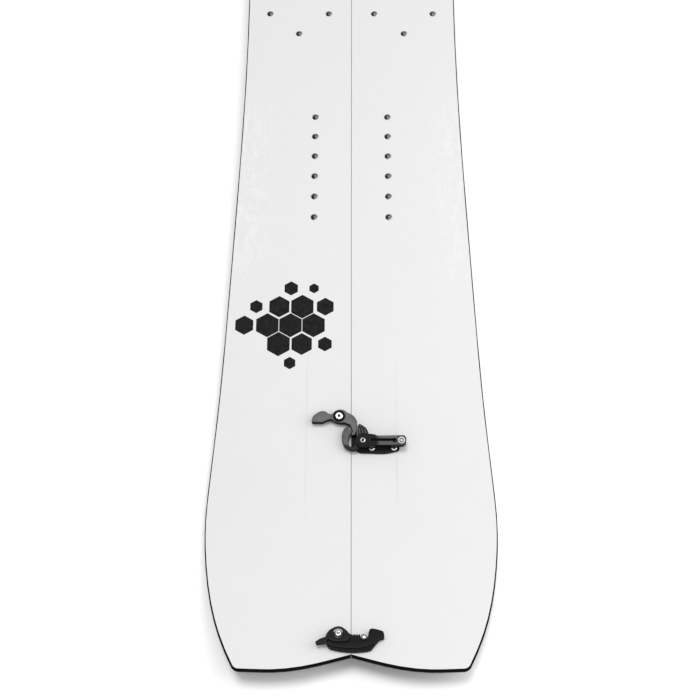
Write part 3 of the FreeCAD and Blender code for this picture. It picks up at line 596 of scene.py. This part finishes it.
def apply_modifiers(obj):
    """Give the object the mesh that its modifiers make."""
    depsgraph = bpy.context.evaluated_depsgraph_get()
    mesh = bpy.data.meshes.new_from_object(obj.evaluated_get(depsgraph))
    obj.modifiers.clear()
    obj.data = mesh


class Clip:
    """The place of a clip: its pivot, its upward axis and its direction across the seam."""

    def __init__(self, joint_name, side=1.0):
        joint = JOINTS[joint_name]
        self.axis = Vector(joint["axis"]).normalized()
        self.across = Vector((side, 0, 0))
        self.along = self.axis.cross(self.across)
        self.pivot = Vector(joint["pos_m"])

    def place(self, x, y, z):
        """A point given in mm from the pivot."""
        return self.pivot + (self.across * x + self.along * y + self.axis * z) * MM

    def places(self, mesh):
        """Write each corner's place from the pivot, in mm, on the mesh."""
        layer = mesh.attributes.new(CLIP_PLACE, "FLOAT_VECTOR", "POINT")
        for vert, entry in zip(mesh.vertices, layer.data):
            arm = (vert.co - self.pivot) / MM
            entry.vector = (arm.dot(self.across), arm.dot(self.along), arm.dot(self.axis))


def bevelled(node_name, clip, width, looks, segments=3):
    """A copy of a CAD node with broken edges; looks are its top, flank and rim materials. Flanks and
    rims take painted shade on most clip pieces.
    """
    mesh = NODES[node_name].data.copy()
    mesh.materials.clear()
    work = bmesh.new()
    work.from_mesh(mesh)
    bmesh.ops.remove_doubles(work, verts=work.verts, dist=WELD)
    bmesh.ops.dissolve_limit(work, angle_limit=FLAT_ANGLE, verts=work.verts, edges=work.edges)
    # Top faces keep the top look; every other face takes the flank look, which is painted shade on
    # most pieces.
    for face in work.faces:
        face.material_index = 0 if face.normal.dot(clip.axis) > TOP_FACING else 1
    work.to_mesh(mesh)
    work.free()
    obj = new_object(node_name + "_finished", mesh, looks)
    rounding = obj.modifiers.new("rounding", "BEVEL")
    rounding.width = width
    rounding.segments = segments
    rounding.limit_method = "ANGLE"
    rounding.angle_limit = BEVEL_ANGLE
    # The bevel faces take the rim look, which is painted shade on the grey metal pieces.
    rounding.material = 2
    rounding.use_clamp_overlap = True
    bpy.context.view_layer.update()
    apply_modifiers(obj)
    for polygon in obj.data.polygons:
        polygon.use_smooth = True
    obj.data.set_sharp_from_angle(angle=BEVEL_SHADING)
    clip.places(obj.data)
    stand_for(obj, node_name)


def islands(node_name):
    """The corner points of each separate solid in a CAD node, from tail to nose."""
    work = bmesh.new()
    work.from_mesh(NODES[node_name].data)
    bmesh.ops.remove_doubles(work, verts=work.verts, dist=WELD)
    groups = []
    todo = {vert.index: vert for vert in work.verts}
    while todo:
        stack = [todo.pop(min(todo))]
        found = []
        while stack:
            vert = stack.pop()
            found.append(vert.co.copy())
            for edge in vert.link_edges:
                other = edge.other_vert(vert)
                if other.index in todo:
                    stack.append(todo.pop(other.index))
        groups.append(found)
    work.free()
    return sorted(groups, key=lambda points: (round(points[0].y, 4), round(points[0].x, 4)))


def turned_frame(points, axis):
    """Centre line of a round solid: a matrix whose Z runs along it from the solid's top."""
    turn = Vector((0, 0, 1)).rotation_difference(axis).to_matrix()
    local = [turn.inverted() @ point for point in points]
    low = [min(p[i] for p in local) for i in range(3)]
    high = [max(p[i] for p in local) for i in range(3)]
    top = turn @ Vector(((low[0] + high[0]) / 2, (low[1] + high[1]) / 2, high[2]))
    return Matrix.Translation(top) @ turn.to_4x4(), high[2] - low[2]


def ring_of(work, place, radius, height, six_sided):
    """One ring of a turned solid, round or as a hexagon across its corners."""
    ring = []
    for i in range(TURN_SIDES):
        angle = 2 * math.pi * i / TURN_SIDES
        reach = radius
        if six_sided:
            share = (angle + HEX_HALF) % (2 * HEX_HALF) - HEX_HALF
            reach = radius * math.cos(HEX_HALF) / math.cos(share)
        spot = Vector((math.cos(angle) * reach, math.sin(angle) * reach, height)) * MM
        ring.append(work.verts.new(place @ spot))
    return ring


def turned(work, profile, place):
    """Turn rows of (radius, height, material, six-sided) in mm about Z of place."""
    previous = None
    for radius, height, look, six_sided in profile:
        if radius == 0.0:
            ring = [work.verts.new(place @ (Vector((0, 0, height)) * MM))]
        else:
            ring = ring_of(work, place, radius, height, six_sided)
        if previous:
            for i in range(TURN_SIDES):
                j = (i + 1) % TURN_SIDES
                if len(previous) == 1:
                    corners = (previous[0], ring[j], ring[i])
                elif len(ring) == 1:
                    corners = (previous[i], previous[j], ring[0])
                else:
                    corners = (previous[i], previous[j], ring[j], ring[i])
                work.faces.new(corners).material_index = look
        previous = ring


def turned_piece(node_name, axis, make_profile, looks):
    """Replace each round solid of a CAD node with a turned one; profile(depth) is in mm."""
    work = bmesh.new()
    layer = work.verts.layers.float_vector.new(CLIP_PLACE)
    for points in islands(node_name):
        place, depth = turned_frame(points, axis)
        before = len(work.verts)
        turned(work, make_profile(depth / MM), place)
        work.verts.ensure_lookup_table()
        back = place.inverted()
        for vert in work.verts[before:]:
            vert[layer] = (back @ vert.co) / MM
    bmesh.ops.recalc_face_normals(work, faces=work.faces)
    mesh = bpy.data.meshes.new(node_name + "_turned")
    work.to_mesh(mesh)
    work.free()
    obj = new_object(node_name + "_turned", mesh, looks)
    for polygon in mesh.polygons:
        polygon.use_smooth = True
    mesh.set_sharp_from_angle(angle=TURNED_SHADING)
    stand_for(obj, node_name)


# Screws, in mm.
SOCKET_RAD = 1.3
SOCKET_DEEPEST = 1.6                 # a socket is no deeper than this
SOCKET_FLOOR = 0.25                  # and leaves this much of the head under it
SOCKET_EDGE = -0.18                  # its mouth opens from here
SOCKET_MOUTH = 0.22                  # by this much
SOCKET_LIP = -0.05                   # up to here
DOME = ((0.62, 0.0), (0.84, -0.16), (0.96, -0.42), (1.0, -0.75))    # share of head_rad, height


def screw_profile(head_rad, head_high, shank_rad, socket_rad=SOCKET_RAD):
    """A button-head screw with a hexagon socket."""
    def profile(depth):
        bottom = -min(head_high - SOCKET_FLOOR, SOCKET_DEEPEST)
        socket = [
            (0.0, bottom, 0, False), (socket_rad, bottom, 1, True),
            (socket_rad, SOCKET_EDGE, 1, True),
            (socket_rad + SOCKET_MOUTH, SOCKET_LIP, 1, False),
        ]
        dome = [(head_rad * share, height, 0, False) for share, height in DOME]
        shank = [
            (head_rad, -head_high, 0, False), (shank_rad, -head_high, 0, False),
            (shank_rad, -depth, 0, False), (0.0, -depth, 0, False),
        ]
        return socket + dome + shank
    return profile


def post_profile(depth):
    """The post's screw: bright dome, dark groove in painted shade, grey rim."""
    return [
        (0.0, -0.10, 0, False), (0.9, -0.08, 0, False), (1.5, -0.22, 0, False),
        (1.85, -0.5, 0, False), (1.95, -0.9, 1, False), (2.25, -0.9, 1, False),
        (2.3, -0.3, 2, False), (2.6, -0.22, 2, False), (2.75, -0.4, 2, False),
        (2.75, -1.2, 2, False), (1.9, -1.2, 2, False), (1.9, -depth, 2, False),
        (0.0, -depth, 2, False),
    ]


# bright heads; their sockets take painted shade
SCREW_LOOKS = [BRIGHT, SOCKET]


# The lever's mark, in mm from the lever's pivot.
LEVER_TOP_HEIGHT = 13.2
LEVER_MARK = (38.4, 0.2)
MARK_BANDS = ((0.0, 1.15), (2.3, 3.4))          # inner and outer radius of the dot and the ring
MARK_LIFT = 0.04
MARK_THICK = 0.1
MARK_SIDES = 40
MARK_WELD = 1e-7                                # in metres


def lever_mark(word, clip):
    """A plain ring and dot in white ink at the lever's end."""
    height = LEVER_TOP_HEIGHT + MARK_LIFT
    work = bmesh.new()
    for inner, outer in MARK_BANDS:
        rings = []
        for radius, z in ((inner, height), (outer, height), (outer, height - MARK_THICK)):
            ring = []
            for i in range(MARK_SIDES):
                angle = 2 * math.pi * i / MARK_SIDES
                x = LEVER_MARK[0] + radius * math.cos(angle)
                y = LEVER_MARK[1] + radius * math.sin(angle)
                ring.append(work.verts.new(clip.place(x, y, z)))
            rings.append(ring)
        for first, second in zip(rings, rings[1:]):
            for i in range(MARK_SIDES):
                j = (i + 1) % MARK_SIDES
                work.faces.new((first[i], second[i], second[j], first[j]))
    bmesh.ops.remove_doubles(work, verts=work.verts, dist=MARK_WELD)
    mesh = bpy.data.meshes.new(word + "_lever_mark")
    work.to_mesh(mesh)
    work.free()
    obj = new_object(word + "_lever_mark", mesh, [WHITE_INK])
    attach(obj, word + "_lever")


# ------------------------------------------------------------------ clips
for word in ("rear", "front"):
    lever = Clip(word + "_lever_turn")
    hook = Clip(word + "_hook_turn")
    bevelled(word + "_hook", hook, 0.5 * MM, [HOOK_TOP, METAL_SIDE_SHADE, METAL_RIM_SHADE])
    bevelled(word + "_claw", lever, 0.5 * MM, [CLAW_TOP, METAL_SIDE_SHADE, METAL_RIM_SHADE])
    bevelled(word + "_lever", lever, 0.7 * MM, [LEVER_TOP, METAL_SIDE_SHADE, METAL_RIM_SHADE])
    bevelled(word + "_clip_plate", lever, 0.35 * MM, [PLATE, NYLON_SIDE_SHADE, NYLON_SIDE_SHADE])
    bevelled(word + "_hook_bushing", hook, 0.2 * MM, [NYLON_SIDE_SHADE, NYLON_SIDE_SHADE, NYLON_RIM], 2)
    turned_piece(word + "_pivot_pin", lever.axis,
                 screw_profile(head_rad=2.6, head_high=0.9, shank_rad=1.6, socket_rad=1.2),
                 SCREW_LOOKS)
    turned_piece(word + "_hook_screw", hook.axis,
                 screw_profile(head_rad=3.85, head_high=1.7, shank_rad=2.45, socket_rad=1.5),
                 SCREW_LOOKS)
    # their sockets take the grey steel as painted shade
    turned_piece(word + "_plate_screws", lever.axis,
                 screw_profile(head_rad=3.0, head_high=1.8, shank_rad=1.9),
                 [BRIGHT, GREY_STEEL])
    lever_mark(word, lever)
for word, side in (("tail", 1.0), ("nose", -1.0)):
    arm = Clip(word + "_arm_turn", side)
    bevelled(word + "_hook_arm", arm, 0.5 * MM, [ARM_NYLON, NYLON_SIDE_SHADE, NYLON_RIM])
    bevelled(word + "_lock_cap", arm, 0.6 * MM, [NYLON, NYLON_SIDE_SHADE, NYLON_RIM])
    bevelled(word + "_clip_washers", arm, 0.15 * MM, [WASHER, WASHER, WASHER], 2)
    # its socket takes the grey steel as painted shade
    turned_piece(word + "_pivot_screw", arm.axis,
                 screw_profile(head_rad=2.8, head_high=1.5, shank_rad=1.9),
                 [BRIGHT, GREY_STEEL])
    turned_piece(word + "_post_screw", arm.axis, post_profile, [BRIGHT, SOCKET, GREY_STEEL])
    bevelled(word + "_post_sleeve", arm, 0.2 * MM, [GREY_STEEL, GREY_STEEL, GREY_STEEL], 2)


# ------------------------------------------------------------------ threaded inserts
# Sizes in mm; heights are from the rim's top.
BARREL = 3.98                        # outer radius
BORE = 2.5                           # inner radius
THREAD_DEPTH = 0.45
THREAD_PITCH = 1.0
THREAD_TOP = -1.3                    # the threads end under the countersink
THREAD_RUNOUT = 0.25                 # plain wall under the first thread
BOTTOM_THICK = 0.9
SINK_DEPTH = 0.85                    # the countersink goes this deep
SINK_WIDEN = 0.95                    # and opens out by this much
INNER_EASE = 0.1                     # broken edge inside the rim
OUTER_EASE = (0.2, 0.18)             # and outside it, inward and down


def insert_profile(depth):
    """Half section of an insert: bottom, threads, countersink and a flat rim."""
    bottom = -depth + BOTTOM_THICK
    rows = [(0.0, bottom, 0, False), (BORE - INNER_EASE, bottom, 0, False)]
    z = bottom + THREAD_RUNOUT
    while z < THREAD_TOP:
        rows.append((BORE, z, 0, False))
        rows.append((BORE + THREAD_DEPTH, z + 0.5 * THREAD_PITCH, 0, False))
        z += THREAD_PITCH
    rows += [
        (BORE, -SINK_DEPTH, 0, False), (BORE + SINK_WIDEN, -INNER_EASE, 0, False),
        (BORE + SINK_WIDEN + INNER_EASE, 0.0, 0, False),
        (BARREL - OUTER_EASE[0], 0.0, 0, False), (BARREL, -OUTER_EASE[1], 0, False),
        (BARREL, -depth, 0, False), (0.0, -depth, 0, False),
    ]
    return rows


UPRIGHT = Vector((0, 0, 1))
for hand in ("left", "right"):
    for group in ("ride", "touring"):
        turned_piece("%s_%s_inserts" % (hand, group), UPRIGHT, insert_profile, [INSERT])


# ------------------------------------------------------------------ printed mark
INK_LIFT = 0.00006                   # the ink stands this far out of the sheet
INK_SINK = 0.00008                   # and reaches this far into it
CAST_HEIGHT = 0.3                    # rays are cast down from here, above the whole board


def surface_tree(node_name):
    work = bmesh.new()
    work.from_mesh(NODES[node_name].data)
    tree = BVHTree.FromBMesh(work)
    work.free()
    return tree


def on_surface(tree, x, y, lift):
    hit = tree.ray_cast(Vector((x, y, CAST_HEIGHT)), Vector((0, 0, -1)))[0]
    return hit + Vector((0, 0, lift))


def print_slab(work, tree, outline):
    """A thin closed slab of ink over an outline given in metres."""
    top = [work.verts.new(on_surface(tree, x, y, INK_LIFT)) for x, y in outline]
    under = [work.verts.new(on_surface(tree, x, y, -INK_SINK)) for x, y in outline]
    work.faces.new(top)
    work.faces.new(list(reversed(under)))
    for i in range(len(outline)):
        j = (i + 1) % len(outline)
        work.faces.new((under[i], under[j], top[j], top[i]))


def hexagon(cx, cy, radius):
    """Corners of a hexagon that stands on a point."""
    angles = [math.radians(60 * i + 30.0) for i in range(6)]
    return [(cx + radius * math.cos(angle), cy + radius * math.sin(angle)) for angle in angles]


MARK_CENTRE = (-0.0635, -0.450)
TILE_RADIUS = 0.0135
TILE_STEP = 0.0262
COLUMN_SHARE = 0.92                  # spacing of the columns and the rows, as shares of a step
ROW_SHARE = 0.80
# Honeycomb tiles as (column, row, share of a full tile's size).
MARK_TILES = [
    (-2, 1, 0.55), (-1, 1, 0.9), (0, 1, 1.0), (1, 1, 0.75), (-2, 0, 0.8), (-1, 0, 1.0),
    (0, 0, 1.0), (1, 0, 1.0), (-1, -1, 1.0), (0, -1, 0.9), (1, -1, 0.6), (0, 2, 0.6),
    (0, -2, 0.5), (1, 2, 0.42),
]


def printed_mark():
    """A generic cluster of hexagon tiles printed on the left half near the tail."""
    tree = surface_tree("left_topsheet")
    work = bmesh.new()
    for column, row, share in MARK_TILES:
        cx = MARK_CENTRE[0] + (column + 0.5 * (row % 2)) * TILE_STEP * COLUMN_SHARE
        cy = MARK_CENTRE[1] + row * TILE_STEP * ROW_SHARE
        print_slab(work, tree, hexagon(cx, cy, TILE_RADIUS * share))
    bmesh.ops.recalc_face_normals(work, faces=work.faces)
    mesh = bpy.data.meshes.new("printed_mark")
    work.to_mesh(mesh)
    work.free()
    obj = new_object("printed_mark", mesh, [INK])
    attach(obj, "root")


printed_mark()


# ------------------------------------------------------------------ studio
SWEEP_HALF = 30.0                    # half side of the sweep
SWEEP_GAP = 0.0002                   # the sweep lies this far under the board
WORLD_LIGHT = 0.58


def area_light(name, place, aim, width, depth, power):
    data = bpy.data.lights.new(name, "AREA")
    data.shape = "RECTANGLE"
    data.size = width
    data.size_y = depth
    data.energy = power
    lamp = bpy.data.objects.new(name, data)
    bpy.context.scene.collection.objects.link(lamp)
    lamp.location = place
    lamp.rotation_euler = (Vector(aim) - Vector(place)).to_track_quat("-Z", "Y").to_euler()


def sun_light(name, direction, strength, spread):
    """direction points at the sun; spread is its width in degrees."""
    data = bpy.data.lights.new(name, "SUN")
    data.energy = strength
    data.angle = math.radians(spread)
    lamp = bpy.data.objects.new(name, data)
    bpy.context.scene.collection.objects.link(lamp)
    lamp.rotation_euler = Vector(direction).to_track_quat("Z", "Y").to_euler()


sun_light("key", direction=(-0.10, 0.27, 0.95), strength=1.56, spread=20.0)
area_light("fill", place=(0.9, -0.45, 0.9), aim=(0.1, -0.45, 0.0), width=0.9, depth=1.6, power=9.0)

world = bpy.data.worlds.new("studio")
bpy.context.scene.world = world
world.use_nodes = True
background = world.node_tree.nodes["Background"]
background.inputs["Color"].default_value = (1, 1, 1, 1)
background.inputs["Strength"].default_value = WORLD_LIGHT
bpy.context.scene.view_settings.view_transform = "Standard"

floor_mesh = bpy.data.meshes.new("floor")
corners = [(x * SWEEP_HALF, y * SWEEP_HALF, 0) for x, y in ((-1, -1), (1, -1), (1, 1), (-1, 1))]
floor_mesh.from_pydata(corners, [], [(0, 1, 2, 3)])
floor = new_object("floor", floor_mesh, [floor_material()])
floor.location.z = CAD_BOX[0][2] - SWEEP_GAP
